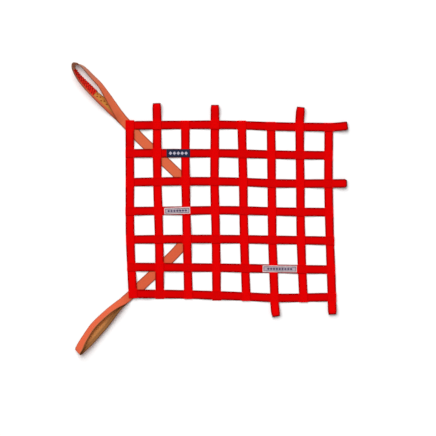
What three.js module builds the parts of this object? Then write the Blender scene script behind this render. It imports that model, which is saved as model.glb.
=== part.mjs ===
// Racing window net of woven webbing, lying face up on a flat surface.
// Millimetres, +Z up. The origin is on that surface, under the middle of the whole outline.

import * as THREE from 'three';

// Webbing and its layers
const netWide = 25;
const netThick = 1.8;
const loopWide = 30;
const loopThick = 2;
const gap = 0.3; // between layers that are sewn face to face
const netLayer = netThick + gap;
const sewnEndUnder = 2 * netLayer; // a tab's upper leg lies on two layers where it is sewn down
const loopLayer = loopThick + gap;

// Woven net
const halfHigh = 246; // from the net's middle to its top and bottom border straps
const halfLong = 286; // from the net's middle to its left and right border straps
const flatHalf = 14; // a strap lies flat this far to each side of a crossing
const liftFlat = 38; // a strap that lies on a corner strap stays lifted this far from the crossing
const liftFall = 28; // and comes down over this length
const stepsBetween = 4; // straight stretches between two crossings
const crossingTurns = 5; // rounds that settle where two curved straps cross

// Tabs: a strap's end folded back into an eye and sewn down on its border crossing
const eyeHigh = 9;
const tabPinch = 3; // the fold is narrower than the strap
const tabPinchLong = 14;
const tabEndPast = 12; // the sewn end reaches this far over the border strap's middle
const foldSteps = 8;
const tabLegSteps = 4;

// Labels and tape
const labelThick = 0.8;
const labelSteps = 12;
const labelClear = 6; // flat over a strap that it crosses, past each edge of it
const labelFall = 10;
const tapeWide = 24;
const tapeThick = 0.8;
const tapeOffset = 2.7; // towards the edge of the loop that lies on the surface
const loopSteps = 3; // straight stretches from one station of a corner strap to the next

// Where each upright runs: x at the bottom border, one third up, two thirds up and at the top border,
// and how far its plain ends go past the border straps' middles.
const uprights = [
  { bottom: -278, lower: -286, upper: -287, top: -287, pastBottom: 12.6, pastTop: 15 },
  { bottom: -201, lower: -203, upper: -208, top: -209, pastBottom: 14.4, pastTop: 0 },
  { bottom: -119, lower: -123, upper: -127, top: -128, pastBottom: 12.8, pastTop: 12.6 },
  { bottom: -38, lower: -40, upper: -44, top: -43, pastBottom: 14.8, pastTop: 0 },
  { bottom: 47, lower: 41, upper: 38, top: 34, pastBottom: 12.8, pastTop: 13.4 },
  { bottom: 128, lower: 122, upper: 120, top: 118, pastBottom: 0, pastTop: 13.2 },
  { bottom: 211, lower: 204, upper: 202, top: 200, pastBottom: 13.2, pastTop: 0 },
  { bottom: 293, lower: 287, upper: 283, top: 284, pastBottom: 0, pastTop: 11 },
];

// Where each cross strap runs: y at the left border, a quarter, half and three quarters along, and at
// the right border.
const crosses = [
  { left: 246, nearLeft: 247.4, middle: 247.5, nearRight: 242.6, right: 241, pastLeft: 12.4, pastRight: 0 },
  { left: 166, nearLeft: 166.3, middle: 165.7, nearRight: 161.8, right: 160, pastLeft: 12.8, pastRight: 12.6 },
  { left: 83, nearLeft: 85.6, middle: 84.7, nearRight: 79.5, right: 79.3, pastLeft: 12.2, pastRight: 0 },
  { left: 0, nearLeft: 1.2, middle: 2.5, nearRight: -1.5, right: -3, pastLeft: 13, pastRight: 12.4 },
  { left: -81.8, nearLeft: -80, middle: -80.5, nearRight: -82.7, right: -85, pastLeft: 12.4, pastRight: 12.8 },
  { left: -160.2, nearLeft: -161.4, middle: -163, nearRight: -165.8, right: -168, pastLeft: 12.6, pastRight: 12.2 },
  { left: -236.8, nearLeft: -238.8, middle: -243.1, nearRight: -249, right: -246.7, pastLeft: 12.2, pastRight: 12.4 },
];

// Tabs: how far the fold reaches past the border strap's middle, and how far it swings to the side.
const tabs = [
  { upright: 2, end: 'top', reach: 63, swing: -1 },
  { upright: 4, end: 'top', reach: 57, swing: 0 },
  { upright: 7, end: 'top', reach: 57, swing: 3.5 },
  { upright: 6, end: 'bottom', reach: 54, swing: 5 },
  { upright: 8, end: 'bottom', reach: 50, swing: 1 },
  { cross: 1, end: 'right', reach: 54, swing: 3 },
  { cross: 3, end: 'right', reach: 53, swing: -0.5 },
];

// Crossings that lie on a corner strap, and how many layers of it are there
const liftedCrossings = [
  { upright: 1, cross: 1, layers: 2 },
  { upright: 2, cross: 2, layers: 1 },
  { upright: 3, cross: 3, layers: 1 },
  { upright: 1, cross: 7, layers: 2 },
  { upright: 2, cross: 6, layers: 1 },
  { upright: 3, cross: 5, layers: 1 },
];

// Corner straps, from the end sewn under the net, out to the loop's tip and back to the corner.
// out: from the net's middle along the diagonal. side: to the right of that. high: the strap's middle.
// tilt: degrees that its right edge is turned down. lean: its lower edge set outwards.
// bunched: how much narrower it is than its webbing, at its stitches and at a creased tip.
const upperLoop = [
  { out: 147, side: -30, high: 1, tilt: 0, lean: 0, bunched: 0 },
  { out: 205, side: -31, high: 1, tilt: 0, lean: 0, bunched: 0 },
  { out: 264, side: -33, high: 1, tilt: 0, lean: 0, bunched: 0 },
  { out: 318, side: -34.5, high: 1, tilt: 0, lean: 0, bunched: 0 },
  { out: 335, side: -34.5, high: 1.8, tilt: 0, lean: 0, bunched: 0 },
  { out: 354, side: -33.5, high: 3.3, tilt: 0, lean: 0, bunched: 0 },
  { out: 376, side: -32.5, high: 3.3, tilt: 0, lean: 0, bunched: 1 },
  { out: 393, side: -32.5, high: 3.3, tilt: 0, lean: 0, bunched: 1.5 },
  { out: 399, side: -32.3, high: 3.6, tilt: 1, lean: 0, bunched: 1.5 },
  { out: 405, side: -31.9, high: 4.8, tilt: 5, lean: 0, bunched: 1.3 },
  { out: 412, side: -31, high: 6.5, tilt: 11, lean: 0, bunched: 1 },
  { out: 431, side: -27, high: 11.2, tilt: 32, lean: 0, bunched: 0 },
  { out: 453, side: -21.6, high: 11.7, tilt: 42, lean: 0, bunched: 0 },
  { out: 488, side: -13.7, high: 13, tilt: 53.5, lean: 0, bunched: 0 },
  { out: 520, side: -7.4, high: 14, tilt: 63.5, lean: 0, bunched: 0 },
  { out: 550, side: -6.6, high: 14.5, tilt: 67, lean: 0, bunched: 0 },
  { out: 577, side: -5.6, high: 14.8, tilt: 72, lean: 0, bunched: 0 },
  { out: 594, side: -6, high: 15, tilt: 79, lean: -0.04, bunched: 0 },
  { out: 606, side: -9.6, high: 15.1, tilt: 87, lean: -0.17, bunched: 0 },
  { out: 613.5, side: -18, high: 15.1, tilt: 88, lean: -0.28, bunched: 0 },
  { out: 608, side: -25.8, high: 15.1, tilt: 80, lean: -0.26, bunched: 0 },
  { out: 597, side: -31.2, high: 14.9, tilt: 73, lean: -0.1, bunched: 0 },
  { out: 579, side: -35, high: 14, tilt: 64, lean: 0, bunched: 0 },
  { out: 560, side: -36.6, high: 13.2, tilt: 56, lean: 0, bunched: 0 },
  { out: 540, side: -37.2, high: 12.2, tilt: 49, lean: 0, bunched: 0 },
  { out: 514, side: -37.2, high: 11.4, tilt: 45, lean: 0, bunched: 0 },
  { out: 493, side: -36.5, high: 10.5, tilt: 39, lean: 0, bunched: 0 },
  { out: 468, side: -34.5, high: 7.9, tilt: 26, lean: 0, bunched: 0 },
  { out: 444, side: -33, high: 4.8, tilt: 13, lean: 0, bunched: 0 },
  { out: 420, side: -32.2, high: 1.9, tilt: 2.5, lean: 0, bunched: 1 },
  { out: 400, side: -32.3, high: 1, tilt: 0, lean: 0, bunched: 1.5 },
  { out: 380, side: -32.5, high: 1, tilt: 0, lean: 0, bunched: 1.5 },
  { out: 361, side: -33, high: 1, tilt: 0, lean: 0, bunched: 1.5 },
];
const lowerLoop = [
  { out: 142, side: 29.5, high: 1, tilt: 0, lean: 0, bunched: 0 },
  { out: 198, side: 26, high: 1, tilt: 0, lean: 0, bunched: 0 },
  { out: 258, side: 26.5, high: 1, tilt: 0, lean: 0, bunched: 0 },
  { out: 306, side: 28, high: 1, tilt: 0, lean: 0, bunched: 0 },
  { out: 323, side: 28.8, high: 1.8, tilt: 0, lean: 0, bunched: 0 },
  { out: 342, side: 29.6, high: 3.3, tilt: 0, lean: 0, bunched: 1 },
  { out: 364, side: 30.5, high: 3.3, tilt: 0, lean: 0, bunched: 3 },
  { out: 380, side: 31.6, high: 3.3, tilt: 0, lean: 0, bunched: 4.4 },
  { out: 385, side: 32.1, high: 3.7, tilt: 0.5, lean: 0, bunched: 4.6 },
  { out: 391, side: 32.9, high: 5.8, tilt: 7, lean: 0, bunched: 4.9 },
  { out: 399, side: 34, high: 8.6, tilt: 23, lean: 0, bunched: 5 },
  { out: 416, side: 37.2, high: 9.6, tilt: 38, lean: 0, bunched: 3 },
  { out: 442, side: 40.6, high: 12.3, tilt: 47, lean: 0, bunched: 0 },
  { out: 472, side: 42.6, high: 12.5, tilt: 48, lean: 0, bunched: 0 },
  { out: 500, side: 43.2, high: 12.4, tilt: 46, lean: 0, bunched: 0 },
  { out: 521, side: 41.2, high: 12.2, tilt: 45, lean: 0, bunched: 0 },
  { out: 545, side: 36.4, high: 12.4, tilt: 43, lean: 0, bunched: 0 },
  { out: 568, side: 31, high: 15, tilt: 40, lean: 0, bunched: 1 },
  { out: 582, side: 27.2, high: 17.2, tilt: 38, lean: 0, bunched: 2.5 },
  { out: 590, side: 24.8, high: 17.4, tilt: 37, lean: 0, bunched: 3.5 },
  { out: 594, side: 22.4, high: 13.8, tilt: 37, lean: 0, bunched: 4 },
  { out: 590, side: 19.9, high: 10.2, tilt: 37, lean: 0, bunched: 3.5 },
  { out: 576, side: 20.2, high: 9.5, tilt: 35, lean: 0, bunched: 2.5 },
  { out: 556, side: 20.6, high: 8.4, tilt: 30, lean: 0, bunched: 0.5 },
  { out: 520, side: 23.4, high: 7.2, tilt: 24, lean: 0, bunched: 0 },
  { out: 488, side: 25.6, high: 6.9, tilt: 22, lean: 0, bunched: 0 },
  { out: 463, side: 28.6, high: 7, tilt: 23, lean: 0, bunched: 0 },
  { out: 440, side: 31, high: 7.9, tilt: 28, lean: 0, bunched: 1 },
  { out: 418, side: 32.2, high: 7.8, tilt: 31, lean: 0, bunched: 3.5 },
  { out: 399, side: 32.8, high: 4.2, tilt: 14, lean: 0, bunched: 5 },
  { out: 383, side: 31.8, high: 1.1, tilt: 0, lean: 0, bunched: 4.5 },
  { out: 366, side: 30.6, high: 1, tilt: 0, lean: 0, bunched: 3.5 },
  { out: 348, side: 29.8, high: 1, tilt: 0, lean: 0, bunched: 3 },
];
const tapeFirst = 20.6; // the red tape runs inside the upper loop, between these stations
const tapeLast = 25.1;

// Labels sewn on cross straps: their ends, their width and how far the left end sits below the right
const labels = [
  { name: 'label_dark', cross: 2, from: -182, to: -114, wide: 23, drop: 0, color: '#1d2340' },
  { name: 'label_pale_left', cross: 4, from: -188, to: -114, wide: 19, drop: 2, color: '#c4c3c6' },
  { name: 'label_pale_right', cross: 6, from: 94, to: 192, wide: 19, drop: 1, color: '#c4c3c6' },
];

// Webbing and label finishes
const uprightRed = new THREE.MeshStandardMaterial({ color: '#e20407', roughness: 0.7, metalness: 0 });
const crossRed = new THREE.MeshStandardMaterial({ color: '#d40406', roughness: 0.7, metalness: 0 });
const loopOrange = new THREE.MeshStandardMaterial({ color: '#de6644', roughness: 0.75, metalness: 0 });
const tapeRed = new THREE.MeshStandardMaterial({ color: '#b9281a', roughness: 0.8, metalness: 0 });

const { smoothstep, lerp, degToRad } = THREE.MathUtils;
const upward = new THREE.Vector3(0, 0, 1);

// A closed ribbon: a box whose cross-sections are moved onto the stations, one after the other
function ribbon(name, stations, thick, material) {
  const last = stations.length - 1;
  const geometry = new THREE.BoxGeometry(1, 1, last, 1, 1, last);
  const corners = geometry.attributes.position;
  for (let k = 0; k < corners.count; k++) {
    const here = Math.round(corners.getZ(k) + last / 2);
    const { across, through } = frameAt(stations, here);
    const corner = stations[here].middle.clone();
    corner.addScaledVector(across, stations[here].wide * corners.getX(k));
    corner.addScaledVector(through, thick * corners.getY(k));
    corners.setXYZ(k, corner.x, corner.y, corner.z);
  }
  geometry.computeVertexNormals();
  const piece = new THREE.Mesh(geometry, material);
  piece.name = name;
  return piece;
}

// The directions across and through a ribbon at one of its stations
function frameAt(stations, here) {
  const next = stations[Math.min(here + 1, stations.length - 1)].middle;
  const along = next.clone().sub(stations[Math.max(here - 1, 0)].middle).normalize();
  const across = stations[here].side.clone();
  across.addScaledVector(along, -across.dot(along)).normalize();
  return { across, through: along.clone().cross(across) };
}

// Middle lines of the net's straps: sideways place as a smooth function of the place along
function middleLine(half, values) {
  const places = values.map((value, k) => lerp(-half, half, k / (values.length - 1)));
  const spline = new THREE.CubicInterpolant(places, values, 1);
  return (u) => spline.evaluate(THREE.MathUtils.clamp(u, -half, half))[0];
}
const uprightLines = uprights.map(({ bottom, lower, upper, top }) => {
  return middleLine(halfHigh, [bottom, lower, upper, top]);
});
const crossLines = crosses.map(({ left, nearLeft, middle, nearRight, right }) => {
  return middleLine(halfLong, [left, nearLeft, middle, nearRight, right]);
});

function crossingPlace(upright, cross) {
  const place = { x: 0, y: 0 };
  for (let turn = 0; turn < crossingTurns; turn++) {
    place.x = uprightLines[upright - 1](place.y);
    place.y = crossLines[cross - 1](place.x);
  }
  return place;
}

function tabAt(kind, number, crossing) {
  return tabs.find((tab) => tab[kind] === number && tab.border === crossing);
}
for (const tab of tabs) {
  tab.border = { top: 1, bottom: crosses.length, right: uprights.length }[tab.end];
}

// Layers under a strap at a crossing. The straps go over and under by turns, and a tab's strap is
// lowest or highest of three layers, with the tab's sewn end on the other side of the border strap.
function layersUnder(kind, upright, cross) {
  const uprightOver = (upright + cross) % 2 === 0;
  const over = kind === 'upright' ? uprightOver : !uprightOver;
  const uprightTab = tabAt('upright', upright, cross);
  const crossTab = tabAt('cross', cross, upright);
  if (!uprightTab && !crossTab) return over ? 1 : 0;
  const ownTab = kind === 'upright' ? uprightTab : crossTab;
  if (!ownTab) return 1;
  return over ? 2 : 0;
}

function liftAt(upright, cross) {
  const lifted = liftedCrossings.find((row) => row.upright === upright && row.cross === cross);
  return lifted ? lifted.layers * loopLayer : 0;
}

// Crossings along a strap, lowest place first
function crossingsAlong(kind, number) {
  const others = kind === 'upright' ? crosses.length : uprights.length;
  const list = [];
  for (let other = 1; other <= others; other++) {
    const [upright, cross] = kind === 'upright' ? [number, other] : [other, number];
    const place = crossingPlace(upright, cross);
    list.push({
      at: kind === 'upright' ? place.y : place.x,
      layers: layersUnder(kind, upright, cross),
      lift: liftAt(upright, cross),
    });
  }
  return list.sort((a, b) => a.at - b.at);
}

// Height of a strap's underside
function undersideHeight(crossings, u) {
  let weave = crossings[0].layers * netLayer;
  let lift = 0;
  crossings.forEach((crossing, k) => {
    const before = crossings[Math.max(k - 1, 0)];
    if (k > 0 && u > before.at) {
      const climbed = smoothstep(u, before.at + flatHalf, crossing.at - flatHalf);
      weave = lerp(before.layers, crossing.layers, climbed) * netLayer;
    }
    const fallen = smoothstep(Math.abs(u - crossing.at), liftFlat, liftFlat + liftFall);
    lift = Math.max(lift, crossing.lift * (1 - fallen));
  });
  return weave + lift;
}

// A tab from its border crossing outwards, round the fold and back: the lower leg lies on the surface
function tabProfile(reach) {
  const radius = (eyeHigh + netThick) / 2;
  const foldAt = reach - netThick / 2 - radius;
  const profile = [];
  for (let k = 1; k < tabLegSteps; k++) {
    profile.push({ out: lerp(flatHalf, foldAt, k / tabLegSteps), under: 0 });
  }
  for (let k = 0; k <= foldSteps; k++) {
    const angle = Math.PI * (k / foldSteps - 0.5);
    profile.push({ out: foldAt + radius * Math.cos(angle), under: radius + radius * Math.sin(angle) });
  }
  for (let k = 1; k <= tabLegSteps; k++) {
    const out = lerp(foldAt, flatHalf, k / tabLegSteps);
    profile.push({ out, under: lerp(sewnEndUnder, 2 * radius, smoothstep(out, flatHalf, foldAt)) });
  }
  profile.push({ out: 0, under: sewnEndUnder }, { out: -tabEndPast, under: sewnEndUnder });
  return profile;
}

// The same tab entered by its upper leg: that leg belongs to the strap, and the lower one is the sewn end
function tabProfileFromTop(reach) {
  const sewnEnd = [{ out: flatHalf, under: 0 }, { out: 0, under: 0 }, { out: -tabEndPast, under: 0 }];
  const legsAndFold = tabProfile(reach).reverse().slice(sewnEnd.length);
  return [...legsAndFold, ...sewnEnd];
}

function tabStops(crossing, tab, direction) {
  const profile = crossing.layers === 0 ? tabProfile(tab.reach) : tabProfileFromTop(tab.reach);
  return profile.map(({ out, under }) => ({
    u: crossing.at + direction * out,
    under,
    swing: tab.swing * Math.max(out / tab.reach, 0) ** 2,
    swingSlope: (direction * 2 * tab.swing * Math.max(out, 0)) / tab.reach ** 2,
    wide: netWide - tabPinch * smoothstep(out, tab.reach - tabPinchLong, tab.reach),
  }));
}

// Stops along a strap's own length, between its plain ends or its tabs
function strapStops(crossings, tabFirst, tabLast, pastFirst, pastLast) {
  const first = crossings[0];
  const last = crossings[crossings.length - 1];
  const places = [tabFirst ? first.at - flatHalf : first.at - pastFirst];
  crossings.slice(1).forEach((crossing, k) => {
    const from = crossings[k].at + flatHalf;
    for (let n = 0; n <= stepsBetween; n++) {
      places.push(lerp(from, crossing.at - flatHalf, n / stepsBetween));
    }
  });
  places.push(tabLast ? last.at + flatHalf : last.at + pastLast);
  const stops = places.map((u) => {
    return { u, under: undersideHeight(crossings, u), swing: 0, swingSlope: 0, wide: netWide };
  });
  if (tabFirst) stops.unshift(...tabStops(first, tabFirst, -1).reverse());
  if (tabLast) stops.push(...tabStops(last, tabLast, 1));
  return stops;
}

function netStrap(kind, number) {
  const isUpright = kind === 'upright';
  const line = (isUpright ? uprightLines : crossLines)[number - 1];
  const row = (isUpright ? uprights : crosses)[number - 1];
  const crossings = crossingsAlong(kind, number);
  const [lowBorder, highBorder] = isUpright ? [crosses.length, 1] : [1, uprights.length];
  const stops = strapStops(
    crossings,
    tabAt(kind, number, lowBorder),
    tabAt(kind, number, highBorder),
    isUpright ? row.pastBottom : row.pastLeft,
    isUpright ? row.pastTop : row.pastRight,
  );
  const stations = stops.map(({ u, under, swing, swingSlope, wide }) => {
    const sideways = line(u) + swing;
    const slope = (line(u + 1) - line(u - 1)) / 2 + swingSlope;
    const high = under + netThick / 2;
    return {
      middle: isUpright ? new THREE.Vector3(sideways, u, high) : new THREE.Vector3(u, sideways, high),
      side: isUpright ? new THREE.Vector3(-1, slope, 0) : new THREE.Vector3(-slope, 1, 0),
      wide,
    };
  });
  return ribbon(`${kind}_${number}`, stations, netThick, isUpright ? uprightRed : crossRed);
}

// Stations of a corner strap between two of its table's rows, which may be fractions
function loopStations(rows, outward, firstRow, lastRow) {
  const rightward = outward.clone().cross(upward);
  const places = rows.map(({ out, side, high }) => new THREE.Vector3(out, side, high));
  const turns = rows.map(({ tilt, lean, bunched }) => new THREE.Vector3(tilt, lean, bunched));
  const route = new THREE.CatmullRomCurve3(places);
  const turning = new THREE.CatmullRomCurve3(turns);
  const steps = Math.round((lastRow - firstRow) * loopSteps);
  const stations = [];
  for (let k = 0; k <= steps; k++) {
    const t = lerp(firstRow, lastRow, k / steps) / (rows.length - 1);
    const place = route.getPoint(t);
    const turn = turning.getPoint(t);
    const tilt = degToRad(turn.x);
    const wide = loopWide - turn.z;
    const side = rightward.clone().multiplyScalar(Math.cos(tilt)).addScaledVector(upward, -Math.sin(tilt));
    side.addScaledVector(outward, turn.y).normalize();
    const middle = outward.clone().multiplyScalar(place.x).addScaledVector(rightward, place.y);
    const onSurface = (wide * Math.abs(side.z) + loopThick * Math.sqrt(1 - side.z ** 2)) / 2;
    middle.z = Math.max(place.z, onSurface);
    stations.push({ middle, side, wide });
  }
  return stations;
}

// The red tape lies on the face of the upper loop that looks into it
function loopTape(rows, outward) {
  const strap = loopStations(rows, outward, tapeFirst, tapeLast);
  const inward = loopThick / 2 + gap + tapeThick / 2;
  const stations = strap.map((station, here) => {
    const { across, through } = frameAt(strap, here);
    const middle = station.middle.clone();
    middle.addScaledVector(through, inward).addScaledVector(across, tapeOffset);
    return { middle, side: station.side, wide: tapeWide };
  });
  return ribbon('loop_tape', stations, tapeThick, tapeRed);
}

// A label follows the top of its cross strap, and goes over an upright that lies above that strap
function netLabel({ name, cross, from, to, wide, drop, color }) {
  const line = crossLines[cross - 1];
  const crossings = crossingsAlong('cross', cross);
  const stations = [];
  for (let k = 0; k <= labelSteps; k++) {
    const u = lerp(from, to, k / labelSteps);
    let top = undersideHeight(crossings, u) + netThick;
    for (const crossing of crossings) {
      if (crossing.layers > 0 || crossing.at < from || crossing.at > to) continue;
      const clear = netWide / 2 + labelClear;
      const beside = smoothstep(Math.abs(u - crossing.at), clear, clear + labelFall);
      top = Math.max(top, lerp(netLayer + netThick, top, beside));
    }
    const sideways = line(u) + drop * (k / labelSteps - 0.5);
    const slope = (line(u + 1) - line(u - 1)) / 2 + drop / (to - from);
    stations.push({
      middle: new THREE.Vector3(u, sideways, top + gap + labelThick / 2),
      side: new THREE.Vector3(-slope, 1, 0),
      wide,
    });
  }
  return ribbon(name, stations, labelThick, new THREE.MeshStandardMaterial({ color, roughness: 0.6 }));
}

const net = new THREE.Group();
for (let number = 1; number <= uprights.length; number++) net.add(netStrap('upright', number));
for (let number = 1; number <= crosses.length; number++) net.add(netStrap('cross', number));
const toUpperLeft = new THREE.Vector3(-1, 1, 0).normalize();
const toLowerLeft = new THREE.Vector3(-1, -1, 0).normalize();
const upperStations = loopStations(upperLoop, toUpperLeft, 0, upperLoop.length - 1);
const lowerStations = loopStations(lowerLoop, toLowerLeft, 0, lowerLoop.length - 1);
net.add(ribbon('loop_strap_upper', upperStations, loopThick, loopOrange));
net.add(ribbon('loop_strap_lower', lowerStations, loopThick, loopOrange));
net.add(loopTape(upperLoop, toUpperLeft));
for (const label of labels) net.add(netLabel(label));

// The origin goes under the middle of the whole outline
const whole = new THREE.Box3().setFromObject(net);
const middle = whole.getCenter(new THREE.Vector3());
net.position.set(-middle.x, -middle.y, -whole.min.z);

const part = new THREE.Group();
part.add(net);
export default part;
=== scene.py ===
from math import cos, hypot, pi, radians, sin, sqrt

import bmesh
import bpy
import numpy as np
from mathutils import Matrix, Vector, noise


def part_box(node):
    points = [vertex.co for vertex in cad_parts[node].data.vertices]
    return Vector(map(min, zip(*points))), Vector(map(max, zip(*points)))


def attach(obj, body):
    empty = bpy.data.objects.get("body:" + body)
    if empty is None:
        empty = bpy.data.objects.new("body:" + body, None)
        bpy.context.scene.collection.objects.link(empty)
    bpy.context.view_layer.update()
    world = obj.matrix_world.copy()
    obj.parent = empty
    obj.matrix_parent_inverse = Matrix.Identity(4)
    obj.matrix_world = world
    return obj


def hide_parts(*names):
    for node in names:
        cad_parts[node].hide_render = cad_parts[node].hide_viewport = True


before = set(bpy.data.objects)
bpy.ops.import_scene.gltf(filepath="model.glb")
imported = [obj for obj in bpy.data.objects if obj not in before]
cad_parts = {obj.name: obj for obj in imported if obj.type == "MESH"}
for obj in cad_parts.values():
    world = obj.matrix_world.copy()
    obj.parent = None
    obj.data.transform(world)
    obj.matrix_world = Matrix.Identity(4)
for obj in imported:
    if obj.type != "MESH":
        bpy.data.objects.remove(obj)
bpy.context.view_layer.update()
mm = 0.001
upward = Vector((0, 0, 1))

# Camera: straight above, with the photograph's frame
cameraSettings = {
    "lens": 200,
    "sensor": 36,
    "frameWide": 1251,
    "lookAt": (23.1, -26.4, 4),  # from the part's own origin
}
lensShare = cameraSettings["sensor"] / cameraSettings["lens"]
cameraHigh = cameraSettings["frameWide"] / lensShare
cameraData = bpy.data.cameras.new("camera")
cameraData.lens = cameraSettings["lens"]
cameraData.sensor_width = cameraSettings["sensor"]
cameraData.clip_end = 100
camera = bpy.data.objects.new("camera", cameraData)
camera.location = (Vector(cameraSettings["lookAt"]) + cameraHigh * upward) * mm
bpy.context.scene.collection.objects.link(camera)
bpy.context.scene.camera = camera

# Red webbing of the net
webbing = {
    "wide": 25,
    "thick": 1.8,
    "gap": 0.3,  # between layers that are sewn face to face
    "ribPitch": 2.0,
    "ribHigh": 0.12,
    "groove": 0.14,  # beside each selvedge
    "sealed": 0.5,  # a cut end is melted back this far
    "edgeStray": 0.22,
}
layer = webbing["thick"] + webbing["gap"]

# The woven net and its tabs
weave = {
    "halfHigh": 246,
    "halfLong": 286,
    "flatHalf": 14,  # a strap lies flat this far to each side of a crossing
    "liftFlat": 38,
    "liftFall": 28,
    "step": 2,  # between stops along a strap, before its rows are spaced evenly
    "crossingTurns": 5,  # rounds in which a crossing's place settles
}
tabSettings = {
    "eyeHigh": 9,
    "endPast": 12,
    "foldSteps": 24,
    "legSteps": 18,
}

# bottom, one third up, two thirds up, top, plain end past the bottom, plain end past the top
uprights = [
    (-278, -286, -287, -287, 12.6, 15),
    (-201, -203, -208, -209, 14.4, 0),
    (-119, -123, -127, -128, 12.8, 12.6),
    (-38, -40, -44, -43, 14.8, 0),
    (47, 41, 38, 34, 12.8, 13.4),
    (128, 122, 120, 118, 0, 13.2),
    (211, 204, 202, 200, 13.2, 0),
    (293, 287, 283, 284, 0, 11),
]
# left, a quarter, half and three quarters along, right, plain end past the left, plain end past the right
crosses = [
    (246, 247.4, 247.5, 242.6, 241, 12.4, 0),
    (166, 166.3, 165.7, 161.8, 160, 12.8, 12.6),
    (83, 85.6, 84.7, 79.5, 79.3, 12.2, 0),
    (0, 1.2, 2.5, -1.5, -3, 13, 12.4),
    (-81.8, -80, -80.5, -82.7, -85, 12.4, 12.8),
    (-160.2, -161.4, -163, -165.8, -168, 12.6, 12.2),
    (-236.8, -238.8, -243.1, -249, -246.7, 12.2, 12.4),
]
# (strap, border crossing): how far the fold reaches past the border and swings to the side,
# how much narrower its tip is, and over what length
tabs = {
    ("upright", 2, 1): (63, -1, 3, 14),
    ("upright", 4, 1): (57, 0, 3, 14),
    ("upright", 7, 1): (57, 3.5, 3, 14),
    ("upright", 6, 7): (54, 5, 3, 14),
    ("upright", 8, 7): (50, 1, 3, 14),
    ("cross", 1, 8): (54, 4.2, 3, 5),
    ("cross", 3, 8): (53, 0.6, 7, 7),
}
# (upright, cross): layers of a corner strap under that crossing
corners = {(1, 1): 2, (2, 2): 1, (3, 3): 1, (1, 7): 2, (2, 6): 1, (3, 5): 1}

# Orange corner straps
loopWebbing = {
    "wide": 30,
    "thick": 2.0,
    "gap": 0.3,
    "ribPitch": 2.2,
    "ribHigh": 0.14,
    "groove": 0.16,
    "sealed": 0.6,
    "edgeStray": 0.15,
    "stepsPerRow": 10,
}
loopLayer = loopWebbing["thick"] + loopWebbing["gap"]
# out along the diagonal, to the right of it, height, tilt in degrees, lean, narrower by
upperLoop = [
    (147, -30, 1, 0, 0, 0),
    (205, -31, 1, 0, 0, 0),
    (264, -33, 1, 0, 0, 0),
    (318, -34.5, 1, 0, 0, 0),
    (335, -34.5, 1.8, 0, 0, 0),
    (354, -33.5, 3.3, 0, 0, 0),
    (376, -32.5, 3.3, 0, 0, 1),
    (393, -32.5, 3.3, 0, 0, 1.5),
    (399, -32.3, 3.6, 1, 0, 1.5),
    (405, -31.9, 4.8, 5, 0, 1.3),
    (412, -31, 6.5, 11, 0, 1),
    (431, -27, 11.2, 32, 0, 0),
    (453, -21.6, 11.7, 42, 0, 0),
    (488, -13.7, 13, 53.5, 0, 0),
    (520, -7.4, 14, 63.5, 0, 0),
    (550, -6.6, 14.5, 67, 0, 0),
    (577, -5.6, 14.8, 72, 0, 0),
    (594, -6, 15, 79, -0.04, 0),
    (606, -9.6, 15.1, 87, -0.17, 0),
    (613.5, -18, 15.1, 88, -0.28, 0),
    (608, -25.8, 15.1, 80, -0.26, 0),
    (597, -31.2, 14.9, 73, -0.1, 0),
    (579, -35, 14, 64, 0, 0),
    (560, -36.6, 13.2, 56, 0, 0),
    (540, -37.2, 12.2, 49, 0, 0),
    (514, -37.2, 11.4, 45, 0, 0),
    (493, -36.5, 10.5, 39, 0, 0),
    (468, -34.5, 7.9, 26, 0, 0),
    (444, -33, 4.8, 13, 0, 0),
    (420, -32.2, 1.9, 2.5, 0, 1),
    (400, -32.3, 1, 0, 0, 1.5),
    (380, -32.5, 1, 0, 0, 1.5),
    (361, -33, 1, 0, 0, 1.5),
]
lowerLoop = [
    (142, 29.5, 1, 0, 0, 0),
    (198, 26, 1, 0, 0, 0),
    (258, 26.5, 1, 0, 0, 0),
    (306, 28, 1, 0, 0, 0),
    (323, 28.8, 1.8, 0, 0, 0),
    (342, 29.6, 3.3, 0, 0, 1),
    (364, 30.5, 3.3, 0, 0, 3),
    (380, 31.6, 3.3, 0, 0, 4.4),
    (385, 32.1, 3.7, 0.5, 0, 4.6),
    (391, 32.9, 5.8, 7, 0, 4.9),
    (399, 34, 8.6, 23, 0, 5),
    (416, 38, 9.8, 44, 0, 3),
    (442, 42.4, 13, 56, 0, 0),
    (472, 44.6, 13.1, 57, 0, 0),
    (500, 45.1, 13, 56, 0, 0),
    (521, 43.1, 12.9, 55, 0, 0),
    (545, 38.1, 13, 53, 0, 0),
    (568, 32.2, 15, 46, 0, 1),
    (582, 27.2, 17.2, 38, 0, 2.5),
    (590, 24.8, 17.4, 37, 0, 3.5),
    (594, 22.4, 13.8, 37, 0, 4),
    (590, 19.9, 10.2, 37, 0, 3.5),
    (576, 20.2, 9.5, 35, 0, 2.5),
    (556, 20.6, 8.4, 30, 0, 0.5),
    (520, 23.4, 7.2, 24, 0, 0),
    (488, 25.6, 6.9, 22, 0, 0),
    (463, 28.6, 7, 23, 0, 0),
    (440, 31, 7.9, 28, 0, 1),
    (418, 32.2, 7.8, 31, 0, 3.5),
    (399, 32.8, 4.2, 14, 0, 5),
    (383, 31.8, 1.1, 0, 0, 4.5),
    (366, 30.6, 1, 0, 0, 3.5),
    (348, 29.8, 1, 0, 0, 3),
]

# Red tape sewn inside the upper loop
tape = {
    "wide": 24,
    "thick": 0.8,
    "gap": 0.3,
    "ribPitch": 1.6,
    "ribHigh": 0.1,
    "groove": 0.05,
    "sealed": 0.3,
    "edgeStray": 0.5,
    "offset": 2.7,
    "first": 20.6,  # between these rows of the upper loop's table
    "last": 25.1,
}

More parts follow.
